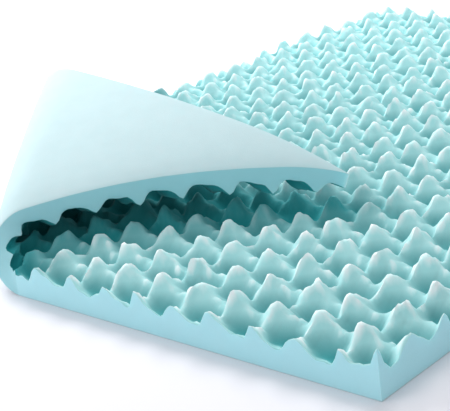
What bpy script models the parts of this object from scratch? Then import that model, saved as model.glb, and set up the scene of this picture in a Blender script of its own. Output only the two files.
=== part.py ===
"""A convoluted foam mattress topper, one slab of soft foam lying flat with its front left corner folded over.

Metres, +Z up. The origin is the middle of the underside of the whole slab. The front edge faces -Y.
One side of the slab is smooth and is the underside. The other is moulded into rows of peaks and pits.
The folded corner shows its smooth side, and its peaks face down to those of the part that lies flat.
"""

import math

import bmesh
import bpy
from mathutils import Vector

INCH = 0.0254
WIDTH = 54 * INCH
LENGTH = 75 * INCH
THICKNESS = 3 * INCH

# The moulded side: heights above the smooth side, and the grid of the peaks
PIT_HEIGHT = 0.36 * THICKNESS
SADDLE_HEIGHT = 0.50 * THICKNESS
PEAK_HEIGHT = 0.95 * THICKNESS
PITCH_X = 0.0795
PITCH_Y = 0.079
FIRST_PEAK_FROM_RIGHT = 0.050
FIRST_PEAK_FROM_FRONT = -0.004

# The fold: where it leaves the surface on the front edge and on the left edge
FOLD_FROM_RIGHT = 0.762
FOLD_FROM_FRONT = 0.914
# The roll grows wider from the front edge to the left edge
ROLL_RADIUS_FRONT = 0.059
ROLL_RADIUS_LEFT = 0.171
ROLL_GROWTH = 0.74
ROLL_TURN = math.radians(173)
# Past the roll the flap sags, and its tip bends down a little more
SAG_PER_METRE = math.radians(23)
TIP_SAG = math.radians(14)
TIP_LENGTH = 0.125
TIP_SAG_GROWTH = 1.5
# How far the soft flap is pulled, across the fold and along it, at the front edge and at the left edge
PULL_ACROSS = (1.49, 1.55)
PULL_ALONG = (0.60, -0.20)
PULL_GROWTH = 3

# The foam is squeezed where the fold leaves it no room
ROLL_ROOM = 0.70
ROOM_GAIN = 0.5
LAYER_GAP = 0.005
LEAST_FOAM = 0.3 * THICKNESS
SOFTNESS = 0.006
FLAP_PEAK_SHARE = 0.45

# The lines of the grid through the slab: coarse where it lies flat, and fine from a little before the fold
SECTION_STEP = 0.004
COARSE_SHARE = 1 / 2
FINE_SHARE = 1 / 6
FINE_BEFORE_FOLD = 0.03
LEAST_STRIP = 0.12
SHARP_FROM = math.radians(60)

FOAM_COLOUR = (0.30, 0.66, 0.68, 1.0)

FOLD_ANGLE = math.atan2(WIDTH - FOLD_FROM_RIGHT, FOLD_FROM_FRONT)
ALONG_FOLD = Vector((-math.sin(FOLD_ANGLE), math.cos(FOLD_ANGLE), 0))
OUT_OF_FOLD = Vector((-math.cos(FOLD_ANGLE), -math.sin(FOLD_ANGLE), 0))
UP = Vector((0, 0, 1))


def mix(ends, share):
    return ends[0] + (ends[1] - ends[0]) * share


def smaller(a, b):
    """The smaller of two lengths, rounded off where they meet."""
    return -SOFTNESS * math.log(math.exp(-a / SOFTNESS) + math.exp(-b / SOFTNESS))


def foam_height(across, along):
    """Height of the free foam over its smooth side: across from the right edge, along from the front edge."""
    x = math.cos(math.tau * (across - FIRST_PEAK_FROM_RIGHT) / PITCH_X)
    y = math.cos(math.tau * (along - FIRST_PEAK_FROM_FRONT) / PITCH_Y)
    mean = (PEAK_HEIGHT + PIT_HEIGHT + 2 * SADDLE_HEIGHT) / 4
    return mean + (PEAK_HEIGHT - PIT_HEIGHT) / 4 * (x + y) + (mean - SADDLE_HEIGHT) * x * y


def fold_start(along):
    """Distance from the right edge at which this row leaves the surface."""
    return FOLD_FROM_RIGHT + along * math.tan(FOLD_ANGLE)


def roll_radius(along):
    share = max(0.0, along / FOLD_FROM_FRONT)
    return ROLL_RADIUS_FRONT + (ROLL_RADIUS_LEFT - ROLL_RADIUS_FRONT) * share**ROLL_GROWTH


def turn_at(run, radius):
    """How far the sheet has turned over, in radians, this far along the section across the fold."""
    rolled = radius * ROLL_TURN
    if run < rolled:
        return run / radius
    longest = (WIDTH - FOLD_FROM_RIGHT) * math.cos(FOLD_ANGLE) * PULL_ACROSS[0]
    at_tip = max(0.0, (run - longest) / TIP_LENGTH + 1)
    return ROLL_TURN + (run - rolled) * SAG_PER_METRE + TIP_SAG * at_tip**TIP_SAG_GROWTH


def section(run, radius):
    """(out, up) of the smooth side this far along the section across the fold."""
    steps = max(1, math.ceil(run / SECTION_STEP))
    step = run / steps
    turns = [turn_at((i + 0.5) * step, radius) for i in range(steps)]
    return step * sum(map(math.cos, turns)), step * sum(map(math.sin, turns))


def room_for_foam(run, radius, height_over_surface):
    """The thickness that the roll, and the layer below the flap, leave to the foam."""
    rolled = radius * ROLL_TURN
    beyond = max(0.0, -run, run - rolled)
    room = ROLL_ROOM * radius + ROOM_GAIN * beyond
    if run > rolled:
        room = min(room, max(height_over_surface - PEAK_HEIGHT - LAYER_GAP, LEAST_FOAM))
    return room


def place(across, along):
    """The point on the smooth side and the point on the moulded side of one spot of the slab."""
    start = fold_start(along)
    over = across - start
    if over <= 0 or along >= FOLD_FROM_FRONT:
        foot = Vector((WIDTH / 2 - across, along - LENGTH / 2, 0))
        height = foam_height(across, along)
        if along < FOLD_FROM_FRONT:
            height = smaller(height, room_for_foam(over * math.cos(FOLD_ANGLE), roll_radius(along), 0))
        return foot, foot + UP * height
    share = along / FOLD_FROM_FRONT
    length = WIDTH - start
    radius = roll_radius(along)
    run = over * math.cos(FOLD_ANGLE) * mix(PULL_ACROSS, share)
    slide = length * math.sin(FOLD_ANGLE) * mix(PULL_ALONG, share) * (1 - (1 - over / length) ** PULL_GROWTH)
    out, up = section(run, radius)
    turn = turn_at(run, radius)
    foot = Vector((WIDTH / 2 - start, along - LENGTH / 2, 0))
    point = foot + ALONG_FOLD * slide + OUT_OF_FOLD * out + UP * up
    inward = UP * math.cos(turn) - OUT_OF_FOLD * math.sin(turn)
    height = foam_height(start + math.hypot(run, slide), along)
    rolled_share = min(1.0, run / (radius * ROLL_TURN))
    height -= (height - PIT_HEIGHT) * (1 - FLAP_PEAK_SHARE) * rolled_share
    return point, point + inward * smaller(height, room_for_foam(run, radius, up))


def grid_lines(length, first_peak, pitch, fine_from):
    """Lines through the peaks and the pits, closer together past fine_from, with both edges."""
    lines = [0.0]
    position = first_peak % (pitch * COARSE_SHARE)
    least = pitch * LEAST_STRIP
    while position < length:
        if least < position < length - least:
            lines.append(position)
        position += pitch * (FINE_SHARE if position > fine_from else COARSE_SHARE)
    return lines + [length]


def foam_slab():
    columns = grid_lines(WIDTH, FIRST_PEAK_FROM_RIGHT, PITCH_X, FOLD_FROM_RIGHT - FINE_BEFORE_FOLD)
    rows = grid_lines(LENGTH, FIRST_PEAK_FROM_FRONT, PITCH_Y, LENGTH)
    shape = bmesh.new()
    smooth, moulded = [], []
    for along in rows:
        pairs = [place(across, along) for across in columns]
        smooth.append([shape.verts.new(point) for point, _ in pairs])
        moulded.append([shape.verts.new(point) for _, point in pairs])
    flat = []
    last_row, last_column = len(rows) - 1, len(columns) - 1
    for j in range(last_row):
        for i in range(last_column):
            a, b, c, d = smooth[j][i], smooth[j][i + 1], smooth[j + 1][i + 1], smooth[j + 1][i]
            below = shape.faces.new((a, b, c, d))
            if max(v.co.z for v in (a, b, c, d)) == 0:
                flat.append(below)
            shape.faces.new((moulded[j][i], moulded[j + 1][i], moulded[j + 1][i + 1], moulded[j][i + 1]))
    for i in range(last_column):
        for j, order in ((0, 1), (last_row, -1)):
            side = (smooth[j][i], moulded[j][i], moulded[j][i + 1], smooth[j][i + 1])
            shape.faces.new(side[::order])
    for j in range(last_row):
        for i, order in ((0, -1), (last_column, 1)):
            side = (smooth[j][i], moulded[j][i], moulded[j + 1][i], smooth[j + 1][i])
            shape.faces.new(side[::order])
    edges = {edge for face in flat for edge in face.edges if all(f in flat for f in edge.link_faces)}
    bmesh.ops.dissolve_edges(shape, edges=list(edges), use_verts=True)
    bmesh.ops.triangulate(shape, faces=shape.faces)
    bmesh.ops.recalc_face_normals(shape, faces=shape.faces)
    return shape


def foam_material():
    material = bpy.data.materials.new("aqua_foam")
    material.use_nodes = True
    surface = material.node_tree.nodes["Principled BSDF"]
    surface.inputs["Base Color"].default_value = FOAM_COLOUR
    surface.inputs["Roughness"].default_value = 0.95
    surface.inputs["Metallic"].default_value = 0.0
    return material


for old in list(bpy.data.objects):
    bpy.data.objects.remove(old, do_unlink=True)

slab = foam_slab()
mesh = bpy.data.meshes.new("foam_topper")
slab.to_mesh(mesh)
slab.free()
mesh.materials.append(foam_material())
mesh.shade_smooth()
mesh.set_sharp_from_angle(angle=SHARP_FROM)
topper = bpy.data.objects.new("foam_topper", mesh)
bpy.context.scene.collection.objects.link(topper)
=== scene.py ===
"""A convoluted foam mattress topper with its front left corner folded over, on a plain pale floor."""

import math

import bpy
import numpy as np
from mathutils import Matrix, Vector
from mathutils.kdtree import KDTree


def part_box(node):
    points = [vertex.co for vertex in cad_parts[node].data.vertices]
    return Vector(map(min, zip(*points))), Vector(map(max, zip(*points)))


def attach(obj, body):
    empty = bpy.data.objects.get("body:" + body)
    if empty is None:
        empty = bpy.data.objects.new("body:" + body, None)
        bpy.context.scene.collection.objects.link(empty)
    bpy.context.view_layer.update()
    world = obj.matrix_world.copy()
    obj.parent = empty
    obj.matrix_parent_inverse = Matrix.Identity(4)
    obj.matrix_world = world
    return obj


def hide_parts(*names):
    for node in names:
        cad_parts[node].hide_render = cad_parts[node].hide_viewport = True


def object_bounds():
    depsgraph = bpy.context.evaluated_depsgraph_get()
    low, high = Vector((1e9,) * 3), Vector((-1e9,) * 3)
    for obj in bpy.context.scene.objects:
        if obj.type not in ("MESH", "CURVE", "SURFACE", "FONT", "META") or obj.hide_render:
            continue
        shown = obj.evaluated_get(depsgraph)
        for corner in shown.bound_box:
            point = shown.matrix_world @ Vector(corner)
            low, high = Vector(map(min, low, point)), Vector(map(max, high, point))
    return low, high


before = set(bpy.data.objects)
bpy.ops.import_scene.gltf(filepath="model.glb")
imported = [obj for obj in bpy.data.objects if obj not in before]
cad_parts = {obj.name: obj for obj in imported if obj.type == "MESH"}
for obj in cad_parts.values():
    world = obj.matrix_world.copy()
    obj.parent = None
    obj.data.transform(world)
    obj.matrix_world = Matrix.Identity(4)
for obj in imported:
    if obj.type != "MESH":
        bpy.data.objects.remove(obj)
cad_low, cad_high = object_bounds()


# The foam slab. One full-size slab of soft open-cell foam, cut from a thicker one between pegged
# rollers, so that one side is smooth and the other stands in rows of peaks with a pit between every
# four. It lies on its smooth side. Its front left corner is rolled up and laid over, smooth side up.

INCH = 0.0254
WIDTH = 54 * INCH
LENGTH = 75 * INCH
THICKNESS = 3 * INCH
slab_low, slab_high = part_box("foam_topper")
RIGHT_EDGE = slab_high.x
FRONT_EDGE = slab_low.y

PIT_HEIGHT = 0.24 * THICKNESS
SADDLE_HEIGHT = 0.53 * THICKNESS
PEAK_HEIGHT = 0.87 * THICKNESS
PITCH_X = 0.0795
PITCH_Y = 0.079
FIRST_PEAK_FROM_RIGHT = 0.050
FIRST_PEAK_FROM_FRONT = -0.004
# The pattern runs a little out of square with the cut edges, its columns bend at the front edge,
# and its rows spread towards the back
COLUMN_DRIFT = 1.25
FRONT_BEND = 0.30
FRONT_REACH = 0.035
ROW_DRIFT = 0.35
ROW_DRIFT_REACH = 0.5
ROW_SPREAD = 0.45
# Each peak leans to the left, with a creased foot and a blunt top, and the corner keeps a small one
PEAK_LEAN = 0.22
CREASE = 0.16
KNOB = 1.5
BOWL_SHARPNESS = 1.25
CORNER_PEAK = 0.028
CORNER_PEAK_REACH = 0.019
# On the corner that is folded over, the rows stand half a pitch further on. The step is eased in
# between the first two of these distances from the right edge, and has faded out by SHIFT_END from
# the front edge
FLAP_SHIFT = 0.50
SHIFT_FROM = 0.74
SHIFT_TO = 0.88
SHIFT_END = 0.72
SHIFT_FADE = 0.50
# The unevenness of moulded foam: how much, and over what length
ROW_WANDER, ROW_WANDER_LENGTH = 0.045, 0.15
PEAK_WANDER, PEAK_WANDER_LENGTH = 0.02, 0.034
HEIGHT_WANDER, HEIGHT_WANDER_LENGTH = 0.09, 0.12
LUMP_HEIGHT, LUMP_LENGTH = 0.0030, 0.026
WAVES = 14


def ripples(across, along, wavelength, seed):
    """Smooth chance unevenness, mostly from -1 to 1, and the same each time."""
    chance = np.random.default_rng(seed)
    total = 0.0
    for _ in range(WAVES):
        direction, start, stretch = chance.uniform((0, 0, 0.8), (math.tau, math.tau, 1.25))
        travel = across * math.cos(direction) + along * math.sin(direction)
        total = total + np.sin(math.tau * stretch * travel / wavelength + start)
    return total / WAVES**0.5


def rib(turns):
    """1 on a line of peaks and 0 halfway between two, with a soft crease along the line."""
    away = np.hypot(np.sin(math.pi * turns), CREASE)
    return (math.hypot(1, CREASE) - away) / (math.hypot(1, CREASE) - CREASE)


def eased(share):
    """A smooth step from 0 to 1."""
    share = np.clip(share, 0, 1)
    return share**2 * (3 - 2 * share)


def foam_height(across, along):
    """Height of the free foam over its smooth side: across from the right edge, along from the front."""
    past_first = across - FIRST_PEAK_FROM_RIGHT
    at_front = np.exp(-((along / FRONT_REACH) ** 2))
    crosswise = past_first / PITCH_X + along * COLUMN_DRIFT - FRONT_BEND * (1 - at_front)
    lengthwise = (along - FIRST_PEAK_FROM_FRONT) / PITCH_Y - ROW_SPREAD * along**2
    lengthwise = lengthwise + past_first * ROW_DRIFT * np.minimum(1, along / ROW_DRIFT_REACH)
    shift = eased((across - SHIFT_FROM) / (SHIFT_TO - SHIFT_FROM)) * eased((SHIFT_END - along) / SHIFT_FADE)
    lengthwise = lengthwise + FLAP_SHIFT * shift
    crosswise = crosswise + ROW_WANDER * ripples(across, along, ROW_WANDER_LENGTH, 1)
    crosswise = crosswise + PEAK_WANDER * ripples(across, along, PEAK_WANDER_LENGTH, 3)
    lengthwise = lengthwise + ROW_WANDER * ripples(across, along, ROW_WANDER_LENGTH, 2)
    lengthwise = lengthwise + PEAK_WANDER * ripples(across, along, PEAK_WANDER_LENGTH, 4)
    crosswise = crosswise - PEAK_LEAN * np.cos(math.pi * crosswise) ** 2
    a, b = rib(crosswise), rib(lengthwise)
    taller = 1 + HEIGHT_WANDER * ripples(across, along, HEIGHT_WANDER_LENGTH, 5)
    peak = np.tanh(KNOB * a * b) / math.tanh(KNOB) * taller
    bowl = ((1 - a) * (1 - b)) ** BOWL_SHARPNESS
    height = SADDLE_HEIGHT + (PEAK_HEIGHT - SADDLE_HEIGHT) * peak - (SADDLE_HEIGHT - PIT_HEIGHT) * bowl
    height = height + LUMP_HEIGHT * ripples(across, along, LUMP_LENGTH, 6) * (1 - bowl)
    corner = np.hypot(across, along) / CORNER_PEAK_REACH
    return height + CORNER_PEAK * np.exp(-(corner**2))


# The fold leaves the surface on the front edge and on the left edge, and its roll grows wider towards
# the left. The soft flap is pulled as it is laid over, and its foam is squeezed inside the roll.
FOLD_FROM_RIGHT = 0.762
FOLD_FROM_FRONT = 0.914
FOLD_ANGLE = math.atan2(WIDTH - FOLD_FROM_RIGHT, FOLD_FROM_FRONT)
ALONG_FOLD = np.array((-math.sin(FOLD_ANGLE), math.cos(FOLD_ANGLE), 0))
OUT_OF_FOLD = np.array((-math.cos(FOLD_ANGLE), -math.sin(FOLD_ANGLE), 0))
UP = np.array((0.0, 0.0, 1.0))
ROLL_RADIUS_FRONT = 0.059
ROLL_RADIUS_LEFT = 0.171
ROLL_GROWTH = 0.74
ROLL_TURN = math.radians(173)
SAG_PER_METRE = math.radians(23)
TIP_SAG = math.radians(14)
TIP_LENGTH = 0.125
TIP_SAG_GROWTH = 1.5
# The pull across the fold and along it, at the front edge and at the left edge
PULL_ACROSS = (1.49, 1.55)
PULL_ALONG = (0.60, -0.20)
PULL_GROWTH = 3
SECTION_STEPS = 1200
# The room that the roll, and the layer below the flap, leave to the foam
ROLL_ROOM = 0.70
ROOM_GAIN = 0.5
LAYER_GAP = 0.005
LEAST_FOAM = 0.3 * THICKNESS
SOFTNESS = 0.006
# The flap is a little fuller at its front rim, and the cut edges are rounded
FLAP_RIM = 0.007
FLAP_RIM_REACH = 0.03
EDGE_ROUNDING = 0.0025


def smaller(a, b):
    """The smaller of two lengths, rounded off where they meet."""
    return -SOFTNESS * np.logaddexp(-a / SOFTNESS, -b / SOFTNESS)


def rounded_off(across, along):
    """How far the moulded side drops at the slab's cut edges."""
    edge = np.minimum(np.minimum(across, WIDTH - across), np.minimum(along, LENGTH - along))
    into = np.clip(EDGE_ROUNDING - edge, 0, EDGE_ROUNDING)
    return EDGE_ROUNDING - np.sqrt(EDGE_ROUNDING**2 - into**2)


def lay_row(across, along):
    """One row of the slab as it lies: its points on the smooth side and on the moulded side."""
    fold = FOLD_FROM_RIGHT + along * math.tan(FOLD_ANGLE)
    over = across - fold
    drop = rounded_off(across, along)
    foot = np.stack((RIGHT_EDGE - across, np.full_like(across, FRONT_EDGE + along), 0 * across), axis=1)
    height = foam_height(across, along) - drop
    if along >= FOLD_FROM_FRONT:
        return foot, foot + UP * height[:, None]
    share = along / FOLD_FROM_FRONT
    radius = ROLL_RADIUS_FRONT + (ROLL_RADIUS_LEFT - ROLL_RADIUS_FRONT) * share**ROLL_GROWTH
    before_roll = np.maximum(0, -over) * math.cos(FOLD_ANGLE)
    height = smaller(height, ROLL_ROOM * radius + ROOM_GAIN * before_roll)
    smooth, moulded = foot, foot + UP * height[:, None]
    flap = over > 0
    if not flap.any():
        return smooth, moulded

    past = over[flap]
    length = WIDTH - fold
    run = past * math.cos(FOLD_ANGLE) * (PULL_ACROSS[0] + (PULL_ACROSS[1] - PULL_ACROSS[0]) * share)
    pull = PULL_ALONG[0] + (PULL_ALONG[1] - PULL_ALONG[0]) * share
    slide = length * math.sin(FOLD_ANGLE) * pull * (1 - (1 - past / length) ** PULL_GROWTH)
    rolled = radius * ROLL_TURN
    longest = (WIDTH - FOLD_FROM_RIGHT) * math.cos(FOLD_ANGLE) * PULL_ACROSS[0]

    def turn_at(distance):
        at_tip = np.maximum(0, (distance - longest) / TIP_LENGTH + 1)
        laid_over = ROLL_TURN + (distance - rolled) * SAG_PER_METRE + TIP_SAG * at_tip**TIP_SAG_GROWTH
        return np.where(distance < rolled, distance / radius, laid_over)

    steps = np.linspace(0, run.max(), SECTION_STEPS)
    turns = turn_at((steps[1:] + steps[:-1]) / 2)
    outwards = np.concatenate(([0], np.cumsum(np.cos(turns)))) * steps[1]
    upwards = np.concatenate(([0], np.cumsum(np.sin(turns)))) * steps[1]
    out, up, turn = np.interp(run, steps, outwards), np.interp(run, steps, upwards), turn_at(run)
    start = np.array((RIGHT_EDGE - fold, FRONT_EDGE + along, 0))
    smooth[flap] = start + np.outer(slide, ALONG_FOLD) + np.outer(out, OUT_OF_FOLD) + np.outer(up, UP)
    inward = np.outer(np.cos(turn), UP) - np.outer(np.sin(turn), OUT_OF_FOLD)
    at_rim = np.exp(-((along / FLAP_RIM_REACH) ** 2))
    foam = foam_height(fold + np.hypot(run, slide), along) - drop[flap] + FLAP_RIM * at_rim
    room = ROLL_ROOM * radius + ROOM_GAIN * np.maximum(0, run - rolled)
    over_base = np.maximum(up - PEAK_HEIGHT - LAYER_GAP, LEAST_FOAM)
    room = np.where(run > rolled, np.minimum(room, over_base), room)
    moulded[flap] = smooth[flap] + inward * smaller(foam, room)[:, None]
    return smooth, moulded


# The lines of the grid through the slab: how many to each peak, and those of a rounded edge as shares
# of its rounding. The smooth side takes every second line, so the number of lines has to be odd.
LINES_PER_PEAK = 12
LINES_PER_FLAP_PEAK = 15
ROUNDING_LINES = (0, 0.15, 0.45, 1)
CLEAR_OF_ROUNDING = 1.6
SPARE_LINE = 6


def with_edges(lines, length):
    """Grid lines from one cut edge to the other, close together where the edge is rounded."""
    near = np.array(ROUNDING_LINES) * EDGE_ROUNDING
    clear = CLEAR_OF_ROUNDING * EDGE_ROUNDING
    inner = [x for x in lines if clear < x < length - clear]
    lines = np.concatenate((near, inner, length - near[::-1]))
    return np.delete(lines, SPARE_LINE) if len(lines) % 2 == 0 else lines


flat_columns = np.arange(0, FOLD_FROM_RIGHT, PITCH_X / LINES_PER_PEAK)
flap_columns = np.arange(FOLD_FROM_RIGHT, WIDTH, PITCH_X / LINES_PER_FLAP_PEAK)
columns = with_edges(np.concatenate((flat_columns, flap_columns)), WIDTH)
rows = with_edges(np.arange(0, LENGTH, PITCH_Y / LINES_PER_PEAK), LENGTH)
last_column, last_row = len(columns) - 1, len(rows) - 1

laid = [lay_row(columns, along) for along in rows]
smooth_side = np.array([row[0] for row in laid])
moulded_side = np.array([row[1] for row in laid])
points, faces, sawn, skin = [], [], [], []


def add_points(new, sawn_share, skin_share):
    first = len(points)
    points.extend(new)
    sawn.extend([sawn_share] * len(new))
    skin.extend([skin_share] * len(new))
    return first


# The moulded side
first = add_points(moulded_side.reshape(-1, 3), 0.0, 0.0)
moulded_index = first + np.arange(len(rows) * len(columns)).reshape(len(rows), len(columns))
for j in range(last_row):
    for i in range(last_column):
        corners = (j, i), (j + 1, i), (j + 1, i + 1), (j, i + 1)
        faces.append([moulded_index[spot] for spot in corners])

# The smooth side, on every second line of the grid, with all the points round its edge
smooth_index = np.full((len(rows), len(columns)), -1)
for j in range(len(rows)):
    for i in range(len(columns)):
        if j in (0, last_row) or i in (0, last_column) or (j % 2 == 0 and i % 2 == 0):
            smooth_index[j, i] = add_points([smooth_side[j, i]], 0.0, 1.0)
for j in range(0, last_row, 2):
    for i in range(0, last_column, 2):
        near_side = (j, i), (j, i + 1), (j, i + 2), (j + 1, i + 2)
        far_side = (j + 2, i + 2), (j + 2, i + 1), (j + 2, i), (j + 1, i)
        faces.append([smooth_index[spot] for spot in near_side + far_side if smooth_index[spot] >= 0])

# The cut faces, from the smooth side up to the moulded side
rim = [(0, i) for i in range(last_column)] + [(j, last_column) for j in range(last_row)]
rim += [(last_row, i) for i in range(last_column, 0, -1)] + [(j, 0) for j in range(last_row, 0, -1)]
levels = [[smooth_index[spot] for spot in rim]]
CUT_FACE_RINGS = (0.03, 0.36, 0.68)
for share in CUT_FACE_RINGS:
    ring = [smooth_side[spot] + (moulded_side[spot] - smooth_side[spot]) * share for spot in rim]
    first = add_points(ring, 1.0, 0.0)
    levels.append(list(range(first, first + len(rim))))
levels.append([moulded_index[spot] for spot in rim])
for lower, upper in zip(levels, levels[1:]):
    for k in range(len(rim)):
        after = (k + 1) % len(rim)
        faces.append((lower[k], upper[k], upper[after], lower[after]))
for spot in rim:
    sawn[moulded_index[spot]] = 1.0

slab_mesh = bpy.data.meshes.new("topper_slab")
slab_mesh.from_pydata([tuple(p) for p in points], [], [tuple(int(k) for k in f) for f in faces])
slab_mesh.validate()
topper = bpy.data.objects.new("topper_slab", slab_mesh)
bpy.context.scene.collection.objects.link(topper)

# How far each spot of the moulded side stands out over the foam round it, and how high it is: the
# first sets a painted highlight on the crests, the second a painted shade in the pits
STANDS_OUT_SCALE = 0.005
NEIGHBOURS = ((-2, 0), (2, 0), (0, -2), (0, 2), (-1, -1), (1, 1), (-1, 1), (1, -1))
thick = np.linalg.norm(moulded_side - smooth_side, axis=2)
padded_thick = np.pad(thick, 2, mode="edge")
around = sum(
    padded_thick[2 + dj : 2 + dj + len(rows), 2 + di : 2 + di + len(columns)] for dj, di in NEIGHBOURS
) / len(NEIGHBOURS)
stands_out, height_share = np.zeros(len(points)), np.zeros(len(points))
stands_out[moulded_index.ravel()] = ((thick - around) / STANDS_OUT_SCALE).ravel()
share_of_relief = (thick - PIT_HEIGHT) / (PEAK_HEIGHT - PIT_HEIGHT)
height_share[moulded_index.ravel()] = np.clip(share_of_relief, 0, 1).ravel()

# How far each spot lies in the shade of the flap: all its own moulded side, and the foam below it
SHADE_REACH = 0.11
FLAP_SIDE_SHADE = 0.18
over_fold = columns[None, :] > FOLD_FROM_RIGHT + rows[:, None] * math.tan(FOLD_ANGLE)
over_fold &= rows[:, None] < FOLD_FROM_FRONT
flap_plan = KDTree(int(over_fold.sum()))
for k, (x, y, _) in enumerate(moulded_side[over_fold]):
    flap_plan.insert((x, y, 0), k)
flap_plan.balance()
sheltered = np.zeros(len(points))
for j in range(len(rows)):
    for i in range(len(columns)):
        x, y, _ = moulded_side[j, i]
        if over_fold[j, i]:
            sheltered[moulded_index[j, i]] = 1
        elif y < FRONT_EDGE + FOLD_FROM_FRONT + SHADE_REACH:
            from_flap = flap_plan.find((x, y, 0))[2]
            sheltered[moulded_index[j, i]] = max(0, 1 - from_flap / SHADE_REACH)
for ring in levels[1:]:
    for spot, k in zip(rim, ring):
        sheltered[k] = FLAP_SIDE_SHADE * over_fold[spot]

marks = {
    "sawn": sawn,
    "skin": skin,
    "stands_out": stands_out,
    "height_share": height_share,
    "sheltered": sheltered,
}
for name, values in marks.items():
    attribute = slab_mesh.attributes.new(name, "FLOAT", "POINT")
    attribute.data.foreach_set("value", np.asarray(values, np.float32))

slab_mesh.polygons.foreach_set("use_smooth", [True] * len(slab_mesh.polygons))
SHARP_FROM = math.radians(62)
slab_mesh.set_sharp_from_angle(angle=SHARP_FROM)

# The foam itself: matt, soft and a little see-through at its thin crests, with fine open cells. Its
# pits are darkened by a painted shade and its crests paled by a painted highlight. It is bluer where
# the saw has cut it, and palest on the smooth side, a paler skin with a painted sheen on it. The foam
# shut in under the flap is given a deeper colour, which stands for the little light that reaches it.
foam = bpy.data.materials.new("aqua_foam")
foam.use_nodes = True
nodes, links = foam.node_tree.nodes, foam.node_tree.links
surface = nodes["Principled BSDF"]
surface.inputs["Roughness"].default_value = 0.9
surface.inputs["Specular IOR Level"].default_value = 0.12
surface.inputs["Sheen Weight"].default_value = 0.06
surface.inputs["Sheen Roughness"].default_value = 0.45
surface.inputs["Sheen Tint"].default_value = (0.9, 1.0, 1.0, 1.0)
surface.inputs["Subsurface Weight"].default_value = 0.25
surface.inputs["Subsurface Radius"].default_value = (0.5, 1.0, 1.0)
surface.inputs["Subsurface Scale"].default_value = 0.008


def node(kind, **values):
    made = nodes.new(kind)
    for name, value in values.items():
        setattr(made, name, value)
    return made


def mixed(a, b, share):
    """a blended into b: each a colour or a socket."""
    blend = node("ShaderNodeMix", data_type="RGBA")
    for socket, value in ((blend.inputs[6], a), (blend.inputs[7], b)):
        if isinstance(value, tuple):
            socket.default_value = value
        else:
            links.new(value, socket)
    links.new(share, blend.inputs[0])
    return blend.outputs[2]


def ramped(source, low, high):
    stretch = node("ShaderNodeMapRange", clamp=True)
    stretch.inputs["From Min"].default_value = low
    stretch.inputs["From Max"].default_value = high
    links.new(source, stretch.inputs["Value"])
    return stretch.outputs["Result"]


# A painted shade for the pits, the foam's own colour, a painted highlight for the crests, the cut foam, the
# smooth side's paler skin with a painted sheen, and a painted shade under the flap
PAINTED_PIT_SHADE = (0.07, 0.38, 0.40, 1)
FACE_COLOUR = (0.49, 0.82, 0.83, 1)
CREST_HIGHLIGHT_COLOUR = (0.88, 0.98, 0.99, 1)
SAWN_COLOUR = (0.46, 0.80, 0.87, 1)
SKIN_AND_SHEEN_COLOUR = (0.62, 0.80, 0.83, 1)
SHELTERED_COLOUR = (0.0, 0.24, 0.26, 1)
# Over what range of each mark one colour gives way to the next
PIT_TO_FACE = (0.04, 0.56)
FACE_TO_CREST = (0.4, 1.9)
OPEN_TO_SHELTERED = (0.0, 1.05)
sockets = {name: node("ShaderNodeAttribute", attribute_name=name).outputs["Fac"] for name in marks}
# Painted shade: the lower the foam lies in a pit, the darker its colour
colour = mixed(PAINTED_PIT_SHADE, FACE_COLOUR, ramped(sockets["height_share"], *PIT_TO_FACE))
# Painted highlight: the more a crest stands out over the foam round it, the paler its colour
colour = mixed(colour, CREST_HIGHLIGHT_COLOUR, ramped(sockets["stands_out"], *FACE_TO_CREST))
colour = mixed(colour, SAWN_COLOUR, sockets["sawn"])
colour = mixed(colour, SHELTERED_COLOUR, ramped(sockets["sheltered"], *OPEN_TO_SHELTERED))
# The smooth side: its own paler skin, with a painted sheen
colour = mixed(colour, SKIN_AND_SHEEN_COLOUR, sockets["skin"])

place = node("ShaderNodeTexCoord").outputs["Object"]
blotches = node("ShaderNodeTexNoise")
blotches.inputs["Scale"].default_value = 26
blotches.inputs["Detail"].default_value = 4
links.new(place, blotches.inputs["Vector"])
cells = node("ShaderNodeTexVoronoi")
cells.inputs["Scale"].default_value = 620
links.new(place, cells.inputs["Vector"])
uneven = mixed((0.94, 0.95, 0.95, 1), (1.03, 1.02, 1.02, 1), blotches.outputs["Fac"])
tinted = node("ShaderNodeMix", data_type="RGBA", blend_type="MULTIPLY")
tinted.inputs[0].default_value = 1
links.new(colour, tinted.inputs[6])
links.new(uneven, tinted.inputs[7])
links.new(tinted.outputs[2], surface.inputs["Base Color"])
open_cells = node("ShaderNodeBump")
open_cells.inputs["Strength"].default_value = 0.25
open_cells.inputs["Distance"].default_value = 0.0006
links.new(cells.outputs["Distance"], open_cells.inputs["Height"])
links.new(open_cells.outputs["Normal"], surface.inputs["Normal"])
slab_mesh.materials.append(foam)

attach(topper, "root")
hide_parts("foam_topper")


# The floor: a wide plain pale sheet that stands in for the bed. The slab's smooth side lies on it,
# with the smallest gap, so that the two don't share a plane.
FLOOR_REACH = 30.0
FLOOR_GAP = 0.0005
floor_mesh = bpy.data.meshes.new("floor")
corners = ((-1, -1), (1, -1), (1, 1), (-1, 1))
floor_points = [(x * FLOOR_REACH, y * FLOOR_REACH, cad_low.z - FLOOR_GAP) for x, y in corners]
floor_mesh.from_pydata(floor_points, [], [(0, 1, 2, 3)])
floor = bpy.data.objects.new("floor", floor_mesh)
bpy.context.scene.collection.objects.link(floor)
pale = bpy.data.materials.new("pale_floor")
pale.use_nodes = True
pale.node_tree.nodes["Principled BSDF"].inputs["Base Color"].default_value = (0.89, 0.87, 0.92, 1)
pale.node_tree.nodes["Principled BSDF"].inputs["Roughness"].default_value = 0.8
floor_mesh.materials.append(pale)


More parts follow.
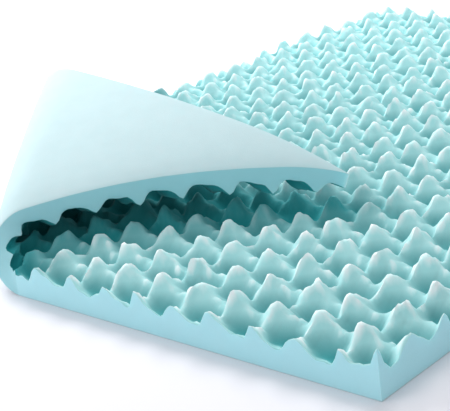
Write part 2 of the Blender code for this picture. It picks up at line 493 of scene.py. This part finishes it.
# The studio light: an even pale sky, a large soft lamp from the left, another above and behind, and a
# weak one in front that fills in the cut face.
sky = bpy.data.worlds.new("studio")
sky.use_nodes = True
sky.node_tree.nodes["Background"].inputs["Color"].default_value = (0.95, 0.98, 1.0, 1)
sky.node_tree.nodes["Background"].inputs["Strength"].default_value = 0.62
bpy.context.scene.world = sky
bpy.context.scene.view_settings.view_transform = "Standard"


def soft_lamp(name, place, aim, size, power, colour):
    lamp = bpy.data.lights.new(name, "AREA")
    lamp.shape = "SQUARE"
    lamp.size = size
    lamp.energy = power
    lamp.color = colour
    holder = bpy.data.objects.new(name, lamp)
    holder.location = place
    holder.rotation_euler = (Vector(aim) - Vector(place)).to_track_quat("-Z", "Y").to_euler()
    bpy.context.scene.collection.objects.link(holder)


soft_lamp("window_lamp", (-3.0, 0.5, 1.8), (0, 0, 0.1), 1.6, 96, (1.0, 1.0, 1.0))
soft_lamp("ceiling_lamp", (-0.6, 1.2, 2.8), (0, 0.2, 0), 2.0, 40, (1.0, 1.0, 1.0))
soft_lamp("fill_lamp", (-0.9, -3.4, 1.3), (0, -0.9, 0), 1.6, 17, (0.97, 0.98, 1.0))


# The camera stands off the near right corner of the slab, a little above it, with a long lens.
camera_data = bpy.data.cameras.new("camera")
camera_data.sensor_width = 36
camera_data.lens = 100.46
camera_data.clip_start = 0.01
camera_data.clip_end = 200
camera = bpy.data.objects.new("camera", camera_data)
CAMERA_PLACE = (1.5974, -2.1163, 0.8153)
AIM = math.radians(-44.7)
TILT = math.radians(19.3)
ROLL = math.radians(7.6)
forward = Vector((math.sin(AIM) * math.cos(TILT), math.cos(AIM) * math.cos(TILT), -math.sin(TILT)))
level = forward.cross(Vector((0, 0, 1))).normalized()
downward = forward.cross(level)
to_right = level * math.cos(ROLL) + downward * math.sin(ROLL)
to_top = level * math.sin(ROLL) - downward * math.cos(ROLL)
turned = Matrix((to_right, to_top, -forward)).transposed().to_4x4()
camera.matrix_world = Matrix.Translation(CAMERA_PLACE) @ turned
bpy.context.scene.collection.objects.link(camera)
bpy.context.scene.camera = camera
